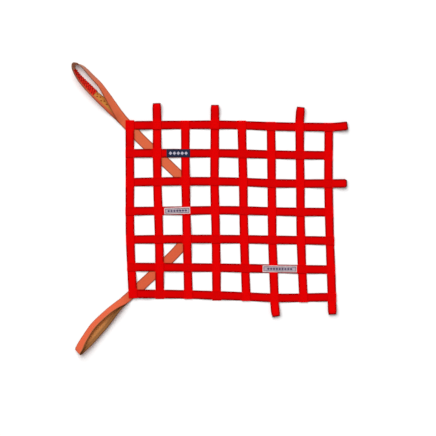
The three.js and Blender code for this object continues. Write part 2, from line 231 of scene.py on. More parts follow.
# Labels: cross strap, left end, right end, width, how far the left end sits below the right
labelCloth = {
    "thick": 0.6,
    "gap": 0.35,
    "ribPitch": 1.0,
    "ribHigh": 0.03,
    "groove": 0.02,
    "sealed": 0.2,
    "edgeStray": 0.1,
    "clear": 6,
    "fall": 10,
    "steps": 60,
}
labels = {
    "label_dark": (2, -182, -114, 23, 0),
    "label_pale_left": (4, -188, -114, 19, 2),
    "label_pale_right": (6, 94, 192, 19, 1),
}

# Thread
thread = {
    "thick": 0.6,
    "stitchLong": 2.7,
    "stitchPitch": 3.2,
    "proud": 0.12,  # how far a stitch's middle stands above the cloth
    "underHigh": 0.1,  # of the stitches under the net
    "boxHalf": 8.6,
    "around": 6,
    "rings": 4,
}


def smoothStep(value, low, high):
    share = min(max((value - low) / (high - low), 0), 1)
    return share * share * (3 - 2 * share)


def mix(a, b, share):
    return a + (b - a) * share


def hermite(a, b, slopeA, slopeB, share):
    cubic = 2 * a - 2 * b + slopeA + slopeB
    square = 3 * b - 3 * a - 2 * slopeA - slopeB
    return a + (slopeA + (square + cubic * share) * share) * share


def withEnds(points, at):
    # the two points around a place, which counts rows, with one more to each side
    points = [2 * points[0] - points[1], *points, 2 * points[-1] - points[-2]]
    before = min(int(at), len(points) - 4)
    return points[before:before + 4], at - before


def evenCurve(values, at):
    (a, b, c, d), share = withEnds(values, at)
    return hermite(b, c, (c - a) / 2, (d - b) / 2, share)


def roundCurve(points, at):
    (a, b, c, d), share = withEnds(points, at)
    middle = sqrt((c - b).length) or 1
    first = sqrt((b - a).length) or middle
    last = sqrt((d - c).length) or middle
    slopeB = (b - a) / first - (c - a) / (first + middle) + (c - b) / middle
    slopeC = (c - b) / middle - (d - b) / (middle + last) + (d - c) / last
    return hermite(b, c, slopeB * middle, slopeC * middle, share)


# Middle lines of the net's straps, and where they cross
def lineAt(kind, number, u):
    rows, half = (uprights, weave["halfHigh"]) if kind == "upright" else (crosses, weave["halfLong"])
    share = (min(max(u, -half), half) + half) / (2 * half)
    values = rows[number - 1][:-2]
    return evenCurve(values, (len(values) - 1) * share)


def crossingPlace(upright, cross):
    x = y = 0
    for _ in range(weave["crossingTurns"]):
        x = lineAt("upright", upright, y)
        y = lineAt("cross", cross, x)
    return x, y


def layersUnder(kind, upright, cross):
    uprightOver = (upright + cross) % 2 == 0
    over = uprightOver if kind == "upright" else not uprightOver
    tabStraps = {
        "upright": ("upright", upright, cross) in tabs,
        "cross": ("cross", cross, upright) in tabs,
    }
    if not any(tabStraps.values()):
        return 1 if over else 0
    if not tabStraps[kind]:
        return 1
    return 2 if over else 0


def crossingPairs(kind, number):
    # (upright, cross) at each crossing of a strap
    if kind == "upright":
        return [(number, cross) for cross in range(1, len(crosses) + 1)]
    return [(upright, number) for upright in range(1, len(uprights) + 1)]


def crossingsAlong(kind, number):
    # (place along the strap, layers under it, lift by the corner straps) at each crossing
    found = []
    for upright, cross in crossingPairs(kind, number):
        x, y = crossingPlace(upright, cross)
        lift = corners.get((upright, cross), 0) * loopLayer
        found.append((y if kind == "upright" else x, layersUnder(kind, upright, cross), lift))
    return sorted(found)


def undersideHeight(crossings, u):
    high = crossings[0][1] * layer
    lift = 0
    for (beforeAt, beforeLayers, _), (at, layers, _) in zip(crossings, crossings[1:]):
        if u > beforeAt:
            climbed = smoothStep(u, beforeAt + weave["flatHalf"], at - weave["flatHalf"])
            high = mix(beforeLayers, layers, climbed) * layer
    for at, _, crossingLift in crossings:
        fallen = smoothStep(abs(u - at), weave["liftFlat"], weave["liftFlat"] + weave["liftFall"])
        lift = max(lift, crossingLift * (1 - fallen))
    return high + lift


# A tab from its border crossing outwards, round the fold and back: (out, underside)
def tabProfile(reach):
    flat = weave["flatHalf"]
    sewnEnd = 2 * layer
    radius = (tabSettings["eyeHigh"] + webbing["thick"]) / 2
    foldAt = reach - webbing["thick"] / 2 - radius
    legSteps, foldSteps = tabSettings["legSteps"], tabSettings["foldSteps"]
    profile = [(mix(flat, foldAt, k / legSteps), 0) for k in range(1, legSteps)]
    for k in range(foldSteps + 1):
        angle = pi * (k / foldSteps - 0.5)
        profile.append((foldAt + radius * cos(angle), radius + radius * sin(angle)))
    for k in range(1, legSteps + 1):
        out = mix(foldAt, flat, k / legSteps)
        profile.append((out, mix(sewnEnd, 2 * radius, smoothStep(out, flat, foldAt))))
    return profile + [(0, sewnEnd), (-tabSettings["endPast"], sewnEnd)]


def tabStops(crossing, tab, direction):
    at, layers, _ = crossing
    reach, swing, pinch, pinchLong = tab
    profile = tabProfile(reach)
    if layers > 0:
        sewnEnd = [(weave["flatHalf"], 0), (0, 0), (-tabSettings["endPast"], 0)]
        profile = profile[::-1][len(sewnEnd):] + sewnEnd
    stops = []
    for out, under in profile:
        beyond = max(out, 0) / reach
        sideways = swing * beyond ** 2
        slope = direction * 2 * swing * beyond / reach
        pinched = smoothStep(out, reach - pinchLong, reach)
        wide = webbing["wide"] - pinch * pinched
        stops.append((at + direction * out, under, sideways, slope, wide))
    return stops


# Stations of a strap: middle, sideways direction and width
def strapStations(kind, number):
    isUpright = kind == "upright"
    row = (uprights if isUpright else crosses)[number - 1]
    crossings = crossingsAlong(kind, number)
    lowBorder, highBorder = (len(crosses), 1) if isUpright else (1, len(uprights))
    tabFirst, tabLast = tabs.get((kind, number, lowBorder)), tabs.get((kind, number, highBorder))
    start = crossings[0][0] - (weave["flatHalf"] if tabFirst else row[-2])
    end = crossings[-1][0] + (weave["flatHalf"] if tabLast else row[-1])
    count = round((end - start) / weave["step"])
    stops = []
    for k in range(count + 1):
        u = mix(start, end, k / count)
        stops.append((u, undersideHeight(crossings, u), 0, 0, webbing["wide"]))
    if tabFirst:
        stops = tabStops(crossings[0], tabFirst, -1)[::-1] + stops
    if tabLast:
        stops += tabStops(crossings[-1], tabLast, 1)
    stations = []
    for u, under, swing, swingSlope, wide in stops:
        sideways = lineAt(kind, number, u) + swing
        slope = (lineAt(kind, number, u + 1) - lineAt(kind, number, u - 1)) / 2 + swingSlope
        high = under + webbing["thick"] / 2
        middle = Vector((sideways, u, high)) if isUpright else Vector((u, sideways, high))
        side = Vector((-1, slope, 0)) if isUpright else Vector((-slope, 1, 0))
        stations.append((middle, side, wide))
    return stations


def loopStations(rows, outward, firstRow, lastRow):
    rightward = outward.cross(upward)
    places = [Vector(row[:3]) for row in rows]
    turns = [Vector(row[3:]) for row in rows]
    count = round((lastRow - firstRow) * loopWebbing["stepsPerRow"])
    stations = []
    for k in range(count + 1):
        at = mix(firstRow, lastRow, k / count)
        out, sideways, high = roundCurve(places, at)
        tilt, lean, bunched = roundCurve(turns, at)
        tilt = radians(tilt)
        wide = loopWebbing["wide"] - bunched
        side = (rightward * cos(tilt) - upward * sin(tilt) + outward * lean).normalized()
        onSurface = (wide * abs(side.z) + loopWebbing["thick"] * sqrt(1 - side.z ** 2)) / 2
        middle = outward * out + rightward * sideways
        middle.z = max(high, onSurface)
        stations.append((middle, side, wide))
    return stations


# The same path with evenly spaced rows: middles, directions across and through, widths
def evenPath(stations, step):
    middles, sides, wides = (np.array(list(part), float) for part in zip(*stations))
    lengths = np.concatenate([[0], np.cumsum(np.linalg.norm(np.diff(middles, axis=0), axis=1))])
    rows = 2 * max(1, round(lengths[-1] / step / 2))
    at = np.linspace(0, lengths[-1], rows + 1)
    middle = np.stack([np.interp(at, lengths, middles[:, k]) for k in range(3)], axis=1)
    side = np.stack([np.interp(at, lengths, sides[:, k]) for k in range(3)], axis=1)
    along = np.gradient(middle, axis=0)
    along /= np.linalg.norm(along, axis=1)[:, None]
    across = side - along * (side * along).sum(axis=1)[:, None]
    across /= np.linalg.norm(across, axis=1)[:, None]
    through = np.cross(along, across)
    return {
        "middle": [Vector(v) for v in middle],
        "across": [Vector(v) for v in across],
        "through": [Vector(v) for v in through],
        "wide": np.interp(at, lengths, wides),
        "long": lengths[-1],
    }


# Outline of a strap's section
sectionShape = {
    "turn": pi / 3,  # of the point on the rounded selvedge
    "grooveIn": 1.3,
    "crownOuter": 0.55,  # of the half width
    "crownInner": 0.19,
}
# How much of the ribs' height each point of the section takes up
ribShares = {"selvedge": 0.2, "turn": 0.3, "flat": 0.4, "groove": 0.6, "crown": 1}


# Round the section, from the middle of its left selvedge over the top: (across, through, rib share)
def clothSection(cloth, wide):
    half, thin = wide / 2, cloth["thick"] / 2
    flat = half - thin
    turn = sectionShape["turn"]
    quarter = [
        (flat + thin * cos(turn), thin * sin(turn), ribShares["turn"]),
        (flat, thin, ribShares["flat"]),
        (flat - sectionShape["grooveIn"], thin - cloth["groove"], ribShares["groove"]),
        (sectionShape["crownOuter"] * half, thin, ribShares["crown"]),
        (sectionShape["crownInner"] * half, thin, ribShares["crown"]),
    ]
    over = [(-a, h, r) for a, h, r in quarter] + quarter[::-1]
    under = [(-a, -h, r) for a, h, r in over]
    return [(-half, 0, ribShares["selvedge"]), *over, (half, 0, ribShares["selvedge"]), *under]


def finishMesh(name, made, material, smooth=True):
    mesh = bpy.data.meshes.new(name)
    made.to_mesh(mesh)
    made.free()
    mesh.materials.append(material)
    mesh.polygons.foreach_set("use_smooth", [smooth] * len(mesh.polygons))
    piece = bpy.data.objects.new(name, mesh)
    bpy.context.scene.collection.objects.link(piece)
    return piece


stripSettings = {
    "sealedThin": 0.6,  # of the thickness, at a melted end
    "strayScale": 0.06,
    "strayAcross": 0.5,
    "heldNear": 0.45,  # widths from a crossing that holds the strap
    "heldFar": 0.75,
    "turnFrom": 0.02,
    "turnTo": 0.35,
    "mergeDistance": 1e-7,
}


def writeAlong(piece, name, values, alongHere, long):
    # a corner attribute from one value for each row of the strip
    places = np.linspace(0, long, len(values))
    here = np.interp(alongHere, places, values).astype(np.float32)
    piece.data.attributes.new(name, "FLOAT", "CORNER").data.foreach_set("value", here)


# A strip of webbing along a path. Its UVs are millimetres along and round the cloth.
def webbingStrip(name, path, cloth, wide, material, shift, held=()):
    section = clothSection(cloth, wide)
    rows, around = len(path["middle"]) - 1, len(section)
    strip = bmesh.new()
    strip.loops.layers.uv.new("cloth")
    bmesh.ops.create_grid(strip, x_segments=rows, y_segments=around, size=1, calc_uvs=True)
    seam = [vert for vert in strip.verts if abs(vert.co.y) > 1 - 0.5 / around]
    for vert in strip.verts:
        row = round((vert.co.x + 1) / 2 * rows)
        across, through, ribShare = section[round((vert.co.y + 1) / 2 * around) % around]
        middle = path["middle"][row]
        across *= path["wide"][row] / wide
        if row in (0, rows):
            across *= 1 - 2 * cloth["sealed"] / wide
            through *= stripSettings["sealedThin"]
        strayAt = middle * stripSettings["strayScale"] + Vector((0, 0, across * stripSettings["strayAcross"]))
        across += cloth["edgeStray"] * noise.noise(strayAt)
        through += ribShare * cloth["ribHigh"] / 2 * (1 if row % 2 else -1)
        place = middle + path["across"][row] * across + path["through"][row] * through
        vert.co = (place + shift) * mm
    bmesh.ops.remove_doubles(strip, verts=seam, dist=stripSettings["mergeDistance"])
    bmesh.ops.holes_fill(strip, edges=[edge for edge in strip.edges if edge.is_boundary], sides=0)
    bmesh.ops.recalc_face_normals(strip, faces=strip.faces)
    piece = finishMesh(name, strip, material)
    points = [Vector(point[:2]) for point in [*section, section[0]]]
    roundPlaces = np.cumsum([0] + [(b - a).length for a, b in zip(points, points[1:])])
    cells = np.zeros(len(piece.data.loops) * 2, np.float32)
    piece.data.uv_layers["cloth"].data.foreach_get("uv", cells)
    cells = cells.reshape(-1, 2)
    cells[:, 0] *= path["long"]
    cells[:, 1] = np.interp(cells[:, 1] * around, range(around + 1), roundPlaces)
    piece.data.uv_layers["cloth"].data.foreach_set("uv", cells.ravel())
    # 0 where a crossing holds the strap, 1 where its edges are free and take their painted shade
    free = []
    for middle in path["middle"]:
        nearest = min([hypot(middle.x - x, middle.y - y) for x, y in held], default=wide)
        free.append(smoothStep(nearest, stripSettings["heldNear"] * wide, stripSettings["heldFar"] * wide))
    writeAlong(piece, "free", free, cells[:, 0], path["long"])
    # 1 where a tab of the net turns back, which the material paints with shade
    turned = [0] * (rows + 1)
    if held:
        turned = [smoothStep(1 - abs(through.z), stripSettings["turnFrom"], stripSettings["turnTo"])
                  for through in path["through"]]
    writeAlong(piece, "turned", turned, cells[:, 0], path["long"])
    return piece


def halfRound(cloth, wide):
    # half way round the section, in the UVs' millimetres
    points = [Vector(point[:2]) for point in clothSection(cloth, wide)]
    return sum((b - a).length for a, b in zip(points, points[1:] + points[:1])) / 2


def addNode(tree, kind, values=None, links=None, **settings):
    made = tree.nodes.new("ShaderNode" + kind)
    for name, value in settings.items():
        setattr(made, name, value)
    for socket, value in (values or {}).items():
        made.inputs[socket].default_value = value
    for socket, source in (links or {}).items():
        tree.links.new(source, made.inputs[socket])
    return made.outputs[0]


def calculate(tree, operation, *parts):
    made = tree.nodes.new("ShaderNodeMath")
    made.operation = operation
    for socket, part in zip(made.inputs, parts):
        if isinstance(part, (int, float)):
            socket.default_value = part
        else:
            tree.links.new(part, socket)
    return made.outputs[0]


def product(tree, first, *others):
    for other in others:
        first = calculate(tree, "MULTIPLY", first, other)
    return first


def oneMinus(tree, part):
    return calculate(tree, "SUBTRACT", 1, part)


def mapValue(tree, value, fromLow, fromHigh, toLow, toHigh, smooth=False):
    ends = {"From Min": fromLow, "From Max": fromHigh, "To Min": toLow, "To Max": toHigh}
    kind = "SMOOTHSTEP" if smooth else "LINEAR"
    return addNode(tree, "MapRange", ends, {"Value": value}, interpolation_type=kind)


def cornerValue(tree, name):
    made = tree.nodes.new("ShaderNodeAttribute")
    made.attribute_name = name
    return made.outputs["Fac"]


def clothPlace(tree):
    # the cloth's UVs, and their two halves: along and round the strap
    uv = addNode(tree, "UVMap", uv_map="cloth")
    split = tree.nodes.new("ShaderNodeSeparateXYZ")
    tree.links.new(uv, split.inputs[0])
    return uv, split.outputs[0], split.outputs[1]


def noiseValue(tree, scale, detail):
    place = tree.nodes.new("ShaderNodeTexCoord").outputs["Object"]
    return addNode(tree, "TexNoise", {"Scale": scale, "Detail": detail}, {"Vector": place})


def chooseColor(tree, share, first, second):
    # the first color where share is 0, the second where it is 1
    made = tree.nodes.new("ShaderNodeMix")
    made.data_type = "RGBA"
    tree.links.new(share, made.inputs["Factor"])
    for socket, color in (("A", first), ("B", second)):
        place = next(s for s in made.inputs if s.name == socket and s.type == "RGBA")
        if isinstance(color, tuple):
            place.default_value = (*color, 1)
        else:
            tree.links.new(color, place)
    return next(s for s in made.outputs if s.type == "RGBA")


sheenRough = 0.5  # of all cloth and thread


def newMaterial(name, look):
    material = bpy.data.materials.new(name)
    material.use_nodes = True
    shader = material.node_tree.nodes["Principled BSDF"]
    shader.inputs["Roughness"].default_value = look["rough"]
    shader.inputs["Specular IOR Level"].default_value = look["gloss"]
    shader.inputs["Sheen Weight"].default_value = look["sheen"]
    shader.inputs["Sheen Roughness"].default_value = sheenRough
    shader.inputs["Sheen Tint"].default_value = (*look["sheenColor"], 1)
    return material, material.node_tree, shader


def dressShader(tree, shader, face, shade, height, strength, deep):
    # the face's color times the shade, and a bump
    made = addNode(tree, "HueSaturation", links={"Value": shade, "Color": face})
    tree.links.new(made, shader.inputs["Base Color"])
    bump = addNode(tree, "Bump", {"Strength": strength, "Distance": deep * mm}, {"Height": height})
    tree.links.new(bump, shader.inputs["Normal"])


# What all the webbing shares
webbingShading = {
    "yarnGap": 0.16,
    "patchDetail": 3,
    "fuzzDetail": 2,
    "fuzzHigh": 0.5,
    "bumpDeep": 0.15,
    "barWave": (-0.2, 0.7),  # of the bars' sine wave, from bright to dark
    "bandSoft": 0.8,
    "bandWander": 2,
    "marginFade": 25,  # along the strap, at a margin's ends
    "marginSoft": 2.5,
    "shadeWander": 0.6,
}


# Woven webbing: yarns and ribs follow the cloth's own UVs, in millimetres
def webbingMaterial(name, look, cloth, wide):
    material, tree, shader = newMaterial(name, look)
    half = halfRound(cloth, wide)
    uv, along, around = clothPlace(tree)
    brick = {
        "Scale": 1,
        "Mortar Size": webbingShading["yarnGap"],
        "Mortar Smooth": 1,
        "Brick Width": 2 * cloth["ribPitch"],
        "Row Height": look["yarnWide"],
    }
    yarns = tree.nodes.new("ShaderNodeTexBrick")
    for socket, value in brick.items():
        yarns.inputs[socket].default_value = value
    tree.links.new(uv, yarns.inputs["Vector"])
    between = yarns.outputs["Fac"]

    # shade: patches, painted shade at the edges and at the tabs' turns, gaps between yarns, ribs and bars
    fromEdge = calculate(tree, "PINGPONG", around, half / 2)
    edgeDark = mapValue(tree, fromEdge, 0, look["edgeWide"], 1 - look["edgeShade"], 0, smooth=True)
    edgeDarkHere = product(tree, edgeDark, calculate(tree, "MAXIMUM", cornerValue(tree, "free"), look["heldEdgeShade"]))
    tip = product(tree, cornerValue(tree, "turned"), look["tipShade"])
    patches = noiseValue(tree, look["patchScale"], webbingShading["patchDetail"])
    patchy = mapValue(tree, patches, 0, 1, 1 - look["patchShade"], 1 + look["patchShade"])
    gaps = product(tree, between, look["yarnShade"])
    rib = calculate(tree, "ABSOLUTE", calculate(tree, "SINE", product(tree, along, pi / cloth["ribPitch"])))
    ribbed = calculate(tree, "ADD", 1 - look["ribShade"], product(tree, rib, look["ribShade"]))
    shade = product(tree, patchy, oneMinus(tree, edgeDarkHere), oneMinus(tree, tip), oneMinus(tree, gaps), ribbed)
    for pitch, slant, depth in look["bars"]:
        turn = calculate(tree, "ADD", along, product(tree, around, slant))
        wave = calculate(tree, "SINE", product(tree, turn, 2 * pi / pitch))
        bright = mapValue(tree, wave, *webbingShading["barWave"], 1, 1 - depth, smooth=True)
        shade = product(tree, shade, bright)

    # color: the face that the path's through direction leaves is the first one round
    wandering = calculate(tree, "ADD", around, product(tree, patches, webbingShading["bandWander"]))
    bandFrom, soft = look["bandFrom"], webbingShading["bandSoft"]
    onBand = mapValue(tree, wandering, bandFrom - soft, bandFrom + soft, 0, 1)
    # painted light and shade across the inner face
    paintedLight = mapValue(tree, around, *look["bandPaintedLight"])
    inner = addNode(tree, "HueSaturation", {"Color": (*look["bandColor"], 1)}, {"Value": paintedLight})
    band = chooseColor(tree, onBand, look["color"], inner)
    face = chooseColor(tree, calculate(tree, "GREATER_THAN", around, half), band, look["color"])
    for start, end, reach in look["margins"]:
        # the outer face's last edge takes the margin's painted shade between two places along the strap
        fromMiddle = calculate(tree, "ABSOLUTE", calculate(tree, "SUBTRACT", along, (start + end) / 2))
        extent, begins, blur = (end - start) / 2, 2 * half - reach, webbingShading["marginSoft"]
        here = mapValue(tree, fromMiddle, extent - webbingShading["marginFade"], extent, 1, 0)
        beside = mapValue(tree, around, begins - blur, begins + blur, 0, 1, smooth=True)
        face = chooseColor(tree, product(tree, here, beside), face, look["marginShadeColor"])
    # painted shade: a face darker and browner along a span, such as the upper loop's leg towards its tip,
    # where it turns away from the light
    for start, end, shadeShare, shadeColor in look["shadedSpans"]:
        fromMiddle = calculate(tree, "ABSOLUTE", calculate(tree, "SUBTRACT", along, (start + end) / 2))
        near = calculate(tree, "DIVIDE", fromMiddle, (end - start) / 2)
        stray = product(tree, calculate(tree, "SUBTRACT", patches, 0.5), webbingShading["shadeWander"])
        share = mapValue(tree, calculate(tree, "ADD", near, stray), 0, 1, shadeShare, 0, smooth=True)
        face = chooseColor(tree, share, face, shadeColor)

    fuzz = noiseValue(tree, look["fuzzScale"], webbingShading["fuzzDetail"])
    high = calculate(tree, "SUBTRACT", product(tree, fuzz, webbingShading["fuzzHigh"]), between)
    dressShader(tree, shader, face, shade, high, look["bump"], webbingShading["bumpDeep"])
    return material


redLook = {
    "color": (0.74, 0.0004, 0.0008),
    "bandColor": (0.74, 0.0004, 0.0008),
    "bandFrom": 0,
    "bandPaintedLight": (0, 20, 1, 1),
    "shadedSpans": [],
    "margins": [],
    "bars": [],
    "rough": 0.8,
    "gloss": 0.006,
    "sheen": 0.05,
    "sheenColor": (1, 0.03, 0.02),
    "yarnWide": 1.05,
    "yarnShade": 0.22,
    "ribShade": 0.14,
    "edgeWide": 7.5,
    "edgeShade": 0.38,  # what painted shade leaves of the color at the edge
    "heldEdgeShade": 0.1,  # share of the edges' painted shade that shows at a crossing
    "tipShade": 0.72,  # painted shade: how much darker the turn of a tab is
    "patchScale": 22,
    "patchShade": 0.05,
    "fuzzScale": 2600,
    "bump": 0.5,
}
orangeLook = {
    "color": (0.66, 0.128, 0.051),
    "bandColor": (0.62, 0.26, 0.052),  # the inner face is ochre but for its upper margin
    "bandFrom": 10,
    "bandPaintedLight": (0, 20, 1, 1),  # painted light and shade on the inner face: from here, to there, from this, to that
    "shadedSpans": [],
    "margins": [],
    # painted shade where the outer face turns towards the fold
    "marginShadeColor": (0.50, 0.15, 0.052),
    "bars": [],
    "rough": 0.8,
    "gloss": 0.08,
    "sheen": 0.1,
    "sheenColor": (1, 0.5, 0.35),
    "yarnWide": 1.2,
    "yarnShade": 0.2,
    "ribShade": 0.12,
    "edgeWide": 5,
    "edgeShade": 0.36,
    "heldEdgeShade": 0.2,
    "tipShade": 0,
    "patchScale": 18,
    "patchShade": 0.06,
    "fuzzScale": 2400,
    "bump": 0.5,
}
tapeLook = {
    **redLook,
    # painted light: the tape's own red is painted brighter to offset the shade on the loop's inner face
    "color": (0.93, 0.03, 0.016),
    "bandColor": (0.93, 0.03, 0.016),
    "bars": [(7.4, 0.45, 0.55)],  # dark bars across: pitch, slant, depth
    "yarnWide": 0.9,
    "yarnShade": 0.15,
    "ribShade": 0.1,
    "edgeShade": 0.9,
}
# painted shade: the cross straps' copy of the red webbing is darker than the uprights', for how light falls
# on straps that run across; its edges are painted darker too
crossShadedLook = {
    **redLook,
    "color": (0.655, 0.0004, 0.0008),
    "bandColor": (0.655, 0.0004, 0.0008),
    "edgeShade": 0.28,
}
upperLook = {
    **orangeLook,
    # painted shade: from and to, along the strap, and the share and color there
    "shadedSpans": [(350, 560, 0.95, (0.42, 0.175, 0.115)), (436, 508, 0.9, (0.62, 0.31, 0.18))],
}
# painted shade: the lower loop's outer and inner faces are painted darker than the upper loop's
lowerShadedLook = {
    **orangeLook,
    "color": (0.65, 0.107, 0.043),
    "bandColor": (0.46, 0.19, 0.058),
    "bandFrom": -10,
    # painted light and shade across the lens: brighter where the upper leg shades it, darker towards its
    # outer edge
    "bandPaintedLight": (9, 18, 0.64, 2.0),
    "margins": [(275, 480, 4.5)],  # painted shade on the outer face's edge: from and to, along the strap, and how wide
}
uprightRed = webbingMaterial("red webbing, uprights", redLook, webbing, webbing["wide"])
crossShadedRed = webbingMaterial("red webbing, cross straps", crossShadedLook, webbing, webbing["wide"])
upperOrange = webbingMaterial("orange webbing, upper loop", upperLook, loopWebbing, loopWebbing["wide"])
lowerShadedOrange = webbingMaterial("orange webbing, lower loop", lowerShadedLook, loopWebbing, loopWebbing["wide"])
tapeRed = webbingMaterial("red tape", tapeLook, tape, tape["wide"])
print("materials made")

# The part's frame has its origin under the middle of the whole outline, so the net is shifted into it
plainStrap = evenPath(strapStations("upright", 5), webbing["ribPitch"] / 2)
edges = []
for middle, across in zip(plainStrap["middle"], plainStrap["across"]):
    edges += [middle + across * webbing["wide"] / 2, middle - across * webbing["wide"] / 2]
boxLow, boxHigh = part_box("upright_5")
shift = Vector((0, 0, boxLow.z / mm))
for axis in (0, 1):
    values = [edge[axis] for edge in edges]
    shift[axis] = (boxLow[axis] + boxHigh[axis]) / 2 / mm - (min(values) + max(values)) / 2
print("net's middle in the part's frame, mm:", [round(value, 3) for value in shift])


def declare(piece, node):
    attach(piece, "root")
    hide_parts(node)


for kind, count, material in (("upright", len(uprights), uprightRed), ("cross", len(crosses), crossShadedRed)):
    for number in range(1, count + 1):
        name = f"{kind}_{number}"
        path = evenPath(strapStations(kind, number), webbing["ribPitch"] / 2)
        held = [crossingPlace(*pair) for pair in crossingPairs(kind, number)]
        strap = webbingStrip(name + "_webbing", path, webbing, webbing["wide"], material, shift, held)
        declare(strap, name)
print("net woven")

toUpperLeft = Vector((-1, 1, 0)).normalized()
toLowerLeft = Vector((-1, -1, 0)).normalized()
loopPaths = {}
loopParts = (
    ("loop_strap_upper", upperLoop, toUpperLeft, upperOrange),
    ("loop_strap_lower", lowerLoop, toLowerLeft, lowerShadedOrange),
)
for name, rows, outward, material in loopParts:
    stations = loopStations(rows, outward, 0, len(rows) - 1)
    path = evenPath(stations, loopWebbing["ribPitch"] / 2)
    loopPaths[name] = path
    strap = webbingStrip(name + "_webbing", path, loopWebbing, loopWebbing["wide"], material, shift)
    declare(strap, name)

# The red tape lies on the inner face of the upper loop
loopStrip = evenPath(loopStations(upperLoop, toUpperLeft, tape["first"], tape["last"]), tape["ribPitch"] / 2)
inward = loopWebbing["thick"] / 2 + tape["gap"] + tape["thick"] / 2
tapeStations = []
for middle, across, through in zip(loopStrip["middle"], loopStrip["across"], loopStrip["through"]):
    tapeStations.append((middle + through * inward + across * tape["offset"], across, tape["wide"]))
tapePath = evenPath(tapeStations, tape["ribPitch"] / 2)
strip = webbingStrip("loop_tape_cloth", tapePath, tape, tape["wide"], tapeRed, shift)
declare(strip, "loop_tape")
print("corner loops made")


# A label follows the top of its cross strap, and goes over an upright that lies above that strap
def labelStations(cross, start, end, wide, drop):
    crossings = crossingsAlong("cross", cross)
    clear = webbing["wide"] / 2 + labelCloth["clear"]
    stations = []
    for k in range(labelCloth["steps"] + 1):
        share = k / labelCloth["steps"]
        u = mix(start, end, share)
        top = undersideHeight(crossings, u) + webbing["thick"]
        for at, layers, _ in crossings:
            if layers == 0 and start <= at <= end:
                beside = smoothStep(abs(u - at), clear, clear + labelCloth["fall"])
                top = max(top, mix(layer + webbing["thick"], top, beside))
        sideways = lineAt("cross", cross, u) + drop * (share - 0.5)
        slope = (lineAt("cross", cross, u + 1) - lineAt("cross", cross, u - 1)) / 2 + drop / (end - start)
        high = top + labelCloth["gap"] + labelCloth["thick"] / 2
        stations.append((Vector((u, sideways, high)), Vector((-slope, 1, 0)), wide))
    return stations


# A woven label: ground, a border line and a row of lozenges
def labelMaterial(name, look, wide, long):
    material, tree, shader = newMaterial(name, look)
    _, along, around = clothPlace(tree)
    fromEnd = calculate(tree, "PINGPONG", along, long / 2)
    fromSide = calculate(tree, "PINGPONG", around, wide / 2)
    fromRim = calculate(tree, "MINIMUM", fromEnd, fromSide)
    border = calculate(tree, "COMPARE", fromRim, look["borderAt"], look["borderWide"] / 2)
    inField = calculate(tree, "GREATER_THAN", fromRim, look["borderAt"])

    # a row of whole lozenges, beside one in the middle
    fromMiddle = calculate(tree, "ABSOLUTE", calculate(tree, "SUBTRACT", along, long / 2))
    step = calculate(tree, "PINGPONG", fromMiddle, look["pitch"] / 2)
    fromAxis = calculate(tree, "SUBTRACT", wide / 2, fromSide)
    reach = calculate(tree, "ADD", product(tree, step, look["slim"]), fromAxis)
    halfLozenge = look["lozengeHalf"] / look["slim"]
    beside = int((long / 2 - look["clearEnd"] - halfLozenge) / look["pitch"])
    rowEnd = beside * look["pitch"] + halfLozenge + look["rowSlack"]
    inRow = calculate(tree, "LESS_THAN", fromMiddle, rowEnd)
    lozenge = product(tree, calculate(tree, "LESS_THAN", reach, look["lozengeHalf"]), inRow)

    patches = noiseValue(tree, look["patchScale"], look["patchDetail"])
    patchy = mapValue(tree, patches, 0, 1, 1 - look["mottled"], 1 + look["mottled"])
    picks = calculate(tree, "SINE", product(tree, around, 2 * pi / look["pickPitch"]))
    picked = calculate(tree, "ADD", 1 - look["pickShade"], product(tree, picks, look["pickShade"]))
    face = chooseColor(tree, inField, look["rim"], look["ground"])
    face = chooseColor(tree, border, face, look["line"])
    face = chooseColor(tree, lozenge, face, look["mark"])
    marks = calculate(tree, "MAXIMUM", border, lozenge)
    high = calculate(tree, "ADD", marks, product(tree, picks, look["pickHigh"]))
    dressShader(tree, shader, face, product(tree, patchy, picked), high, look["bump"], look["bumpDeep"])
    return material


darkLabelLook = {
    "rim": (0.010, 0.012, 0.035),
    "ground": (0.010, 0.017, 0.05),
    "line": (0.006, 0.008, 0.02),
    "mark": (0.42, 0.40, 0.48),
    "mottled": 0.15,
    "rough": 0.65,
    "gloss": 0.1,
    "sheen": 0.05,
    "sheenColor": (0.6, 0.6, 0.8),
    "borderAt": 3.0,
    "borderWide": 0.8,
    "pitch": 11.2,
    "slim": 1.05,
    "lozengeHalf": 5.2,
    "clearEnd": 4.4,
    "rowSlack": 0.1,
    "patchScale": 90,
    "patchDetail": 4,
    "pickPitch": 0.7,
    "pickShade": 0.05,
    "pickHigh": 0.3,
    "bump": 0.4,
    "bumpDeep": 0.12,
}
paleLabelLook = {
    **darkLabelLook,
    "rim": (0.74, 0.55, 0.56),
    "ground": (0.40, 0.34, 0.39),
    "line": (0.05, 0.03, 0.05),
    "mark": (0.06, 0.04, 0.09),
    "mottled": 0.4,
    "sheenColor": (1, 1, 1),
    "borderAt": 3.4,
    "borderWide": 1.6,
    "pitch": 8.2,
    "slim": 0.95,
    "lozengeHalf": 3.8,
    "clearEnd": 7,
}
labelLooks = {
    "label_dark": darkLabelLook,
    "label_pale_left": paleLabelLook,
    "label_pale_right": paleLabelLook,
}
labelPaths = {}
for name, (cross, start, end, wide, drop) in labels.items():
    path = evenPath(labelStations(cross, start, end, wide, drop), labelCloth["ribPitch"] / 2)
    labelPaths[name] = path
    material = labelMaterial(name.replace("_", " ") + " cloth", labelLooks[name], wide, path["long"])
    piece = webbingStrip(name + "_cloth", path, labelCloth, wide, material, shift)
    declare(piece, name)
print("labels made")


